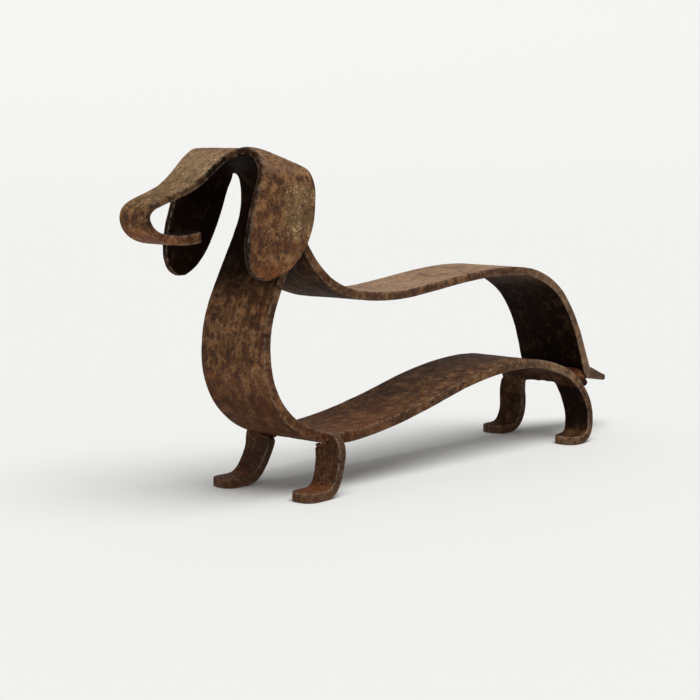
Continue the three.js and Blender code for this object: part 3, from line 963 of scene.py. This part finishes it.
def rust(name, light, middle, dark):
    """Old brown rust: mottled crust, faint rolling streaks, pale dust, black patina with painted shade, and
    rubbed arrises with a painted highlight.
    """
    n = Nodes(name)
    place = n.add("ShaderNodeTexCoord").outputs["Object"]
    flat = n.add("ShaderNodeUVMap", {"uv_map": "flat"}).outputs[0]
    patch = n.noise(place, 90.0, 3.0, 0.5)
    blotch = n.noise(place, 400.0, 4.0, 0.65, 0.6)
    mottle = n.noise(place, 1000.0, 5.0, 0.7, 0.3)
    speck = n.noise(place, 2400.0, 3.0, 0.75)
    streak = n.noise(n.stretch(flat, (14.0, 80.0, 1.0)), 1.0, 4.0, 0.65, 0.8)

    base = n.mix(n.step(mottle, 0.34, 0.62), colour(*dark), colour(*middle))
    base = n.mix(n.step(blotch, 0.48, 0.66, 0.0, 0.65), base, colour(*light))
    base = n.mix(n.step(blotch, 0.47, 0.35, 0.0, 0.5), base, colour(*dark))
    grain = n.attribute("grain")
    base = n.mix(n.math("MULTIPLY", grain, n.step(streak, 0.52, 0.68, 0.0, 0.4)), base, colour(*light))
    base = n.mix(n.math("MULTIPLY", grain, n.step(streak, 0.48, 0.34, 0.0, 0.4)), base, colour(*dark))

    khaki = n.attribute("khaki")
    for cover, tone, share in (
        (khaki, (126, 106, 72), 0.6),
        (n.attribute("orange"), (136, 72, 32), 0.5),
        (n.attribute("pink"), (172, 140, 110), 0.8),
    ):
        cover = n.math("MULTIPLY", cover, n.step(patch, 0.3, 0.6, 0.45, 1.0))
        cover = n.math("MULTIPLY", cover, n.step(mottle, 0.36, 0.58, 0.3, share))
        base = n.mix(cover, base, colour(*tone))
    grains = n.math("MULTIPLY", n.step(speck, 0.55, 0.64), n.step(khaki, 0.0, 0.8, 0.25, 0.8))
    base = n.mix(n.math("MULTIPLY", grains, n.step(blotch, 0.42, 0.58)), base, colour(196, 174, 134))
    base = n.mix(n.step(speck, 0.43, 0.33, 0.0, 0.8), base, colour(30, 15, 9))

    # Near-black: dark patina, and also painted shade on inner skins, undersides and shaded faces.
    oxide_and_shade = n.math("MULTIPLY", n.attribute("oxide_and_shade"), n.step(blotch, 0.72, 0.45, 0.88, 1.0))
    base = n.mix(oxide_and_shade, base, colour(24, 13, 7))
    # Pale arrises: rubbed wear, and also a painted highlight along the rounded edges.
    arris = n.math("MULTIPLY", n.attribute("arris"), n.step(mottle, 0.4, 0.62, 0.0, 0.45))
    base = n.mix(arris, base, colour(150, 134, 118))
    n.put(n.shader, "Base Color", base)
    n.put(n.shader, "Roughness", n.step(mottle, 0.3, 0.7, 0.55, 0.85))
    n.put(n.shader, "Specular IOR Level", n.step(oxide_and_shade, 0.0, 1.0, 0.14, 0.03))
    height = n.math("ADD", n.math("MULTIPLY", mottle, 0.7), n.math("MULTIPLY", speck, 0.4))
    height = n.math("ADD", height, n.math("MULTIPLY", blotch, 0.5))
    bump = n.add("ShaderNodeBump", Height=height, Strength=0.6, Distance=0.0002)
    n.put(n.shader, "Normal", bump.outputs[0])
    return n.material


# Object

body = body_strip()
back = back_strip()
left_leg = front_leg("front_leg_left_worn", -1, LEFT_LEAN)
right_leg = front_leg("front_leg_right_worn", 1, RIGHT_LEAN)
weld = tail_weld()

strip_rust = rust("rusty_iron", (146, 104, 66), (100, 63, 35), (48, 26, 13))
leg_rust = rust("dark_rusty_iron", (90, 56, 33), (66, 38, 20), (34, 18, 10))
weld_rust = rust("rusty_weld_metal", (126, 80, 46), (90, 52, 28), (44, 23, 12))

for piece, node, slot, material in (
    (body, "body_strip", "rusty_iron", strip_rust),
    (back, "back_strip", "rusty_iron", strip_rust),
    (weld, "tail_weld", "rusty_weld_metal", weld_rust),
    (left_leg, "front_leg_left", "dark_rusty_iron", leg_rust),
    (right_leg, "front_leg_right", "dark_rusty_iron", leg_rust),
):
    piece.data.materials.append(material)
    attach(piece, "root")
    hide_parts(node)

beads = [bead("nape_weld", NAPE_WELD, NAPE_WELD_RADIUS, NAPE_WELD_SEED)]
for side, label in ((-1, "left"), (1, "right")):
    seed = SHOULDER_WELD_SEED + side
    for place_name, x in SHOULDER_WELD_PLACES.items():
        path = [(x, side * y, z) for y, z in SHOULDER_WELD]
        beads.append(bead(f"shoulder_weld_{label}_{place_name}", path, SHOULDER_WELD_RADIUS, seed))
for piece in beads:
    piece.data.materials.append(weld_rust)
    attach(piece, "root")

# Studio


def studio_floor():
    """A round floor that rises gently far from the object, so that no horizon shows."""
    n = Nodes("pale_floor")
    n.shader.inputs["Base Color"].default_value = colour(232, 232, 230)
    n.shader.inputs["Roughness"].default_value = 0.9
    n.shader.inputs["Specular IOR Level"].default_value = 0.1
    flat_radius, radius, rise = 1.2, 8.0, 2.5
    radii = np.concatenate([[0.3, 0.7], np.linspace(flat_radius, radius, 40)])
    around = 96
    turn = np.arange(around) * 2 * math.pi / around
    places = [(0.0, 0.0, 0.0)]
    for r in radii:
        z = rise * (max(0.0, r - flat_radius) / (radius - flat_radius)) ** 2
        places += [(r * math.cos(a), r * math.sin(a), z) for a in turn]
    faces = [(0, 1 + k, 1 + (k + 1) % around) for k in range(around)]
    for j in range(len(radii) - 1):
        low, high = 1 + j * around, 1 + (j + 1) * around
        faces += [(low + k, high + k, high + (k + 1) % around, low + (k + 1) % around) for k in range(around)]
    mesh = bpy.data.meshes.new("studio_floor")
    mesh.from_pydata(places, [], faces)
    mesh.polygons.foreach_set("use_smooth", np.ones(len(faces), bool))
    mesh.materials.append(n.material)
    floor = bpy.data.objects.new("studio_floor", mesh)
    bpy.context.scene.collection.objects.link(floor)


def studio_light():
    world = bpy.data.worlds.new("studio")
    world.use_nodes = True
    background = world.node_tree.nodes["Background"]
    background.inputs["Color"].default_value = (1.0, 1.0, 1.0, 1.0)
    background.inputs["Strength"].default_value = 0.35
    bpy.context.scene.world = world
    light = bpy.data.lights.new("key", "SUN")
    light.energy = 2.4
    light.angle = math.radians(50)
    lamp = bpy.data.objects.new("key", light)
    lamp.rotation_euler = Vector((0.12, 0.34, -0.93)).to_track_quat("-Z", "Y").to_euler()
    bpy.context.scene.collection.objects.link(lamp)


studio_floor()
studio_light()
bpy.context.scene.view_settings.view_transform = "Standard"

camera_data = bpy.data.cameras.new("camera")
camera_data.lens = CAMERA_LENS
camera_data.sensor_width = 36.0
camera_data.clip_start = 0.01
camera = bpy.data.objects.new("camera", camera_data)
camera.location = (CAMERA_PLACE + SHIFT) * MM
camera.rotation_euler = CAMERA_FORWARD.to_track_quat("-Z", "Y").to_euler()
bpy.context.scene.collection.objects.link(camera)
bpy.context.scene.camera = camera

bpy.context.view_layer.update()
